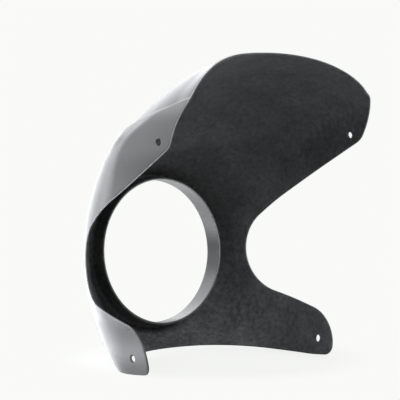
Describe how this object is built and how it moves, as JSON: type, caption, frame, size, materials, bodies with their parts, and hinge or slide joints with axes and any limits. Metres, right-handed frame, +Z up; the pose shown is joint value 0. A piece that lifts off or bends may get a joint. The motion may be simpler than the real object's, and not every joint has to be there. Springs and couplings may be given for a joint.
{
  "type": "motorcycle headlight cowl",
  "caption": "Thin moulded motorcycle headlight cowl: round flanged lamp opening, raked visor above a step, and side wings notched for the fork legs.",
  "frame": {"origin": "on the lamp axis, at the rear rim of the headlight flange", "axes": "+Z up, -Y forward along the lamp axis, X across the cowl"},
  "size_m": [0.3034, 0.2818, 0.3819],
  "materials": {
    "gel_coat": "gloss black gel coat on the mould side, matt dark laminate inside"
  },
  "bodies": {
    "root": {"cowl_shell": "gel_coat"}
  },
  "joints": []
}
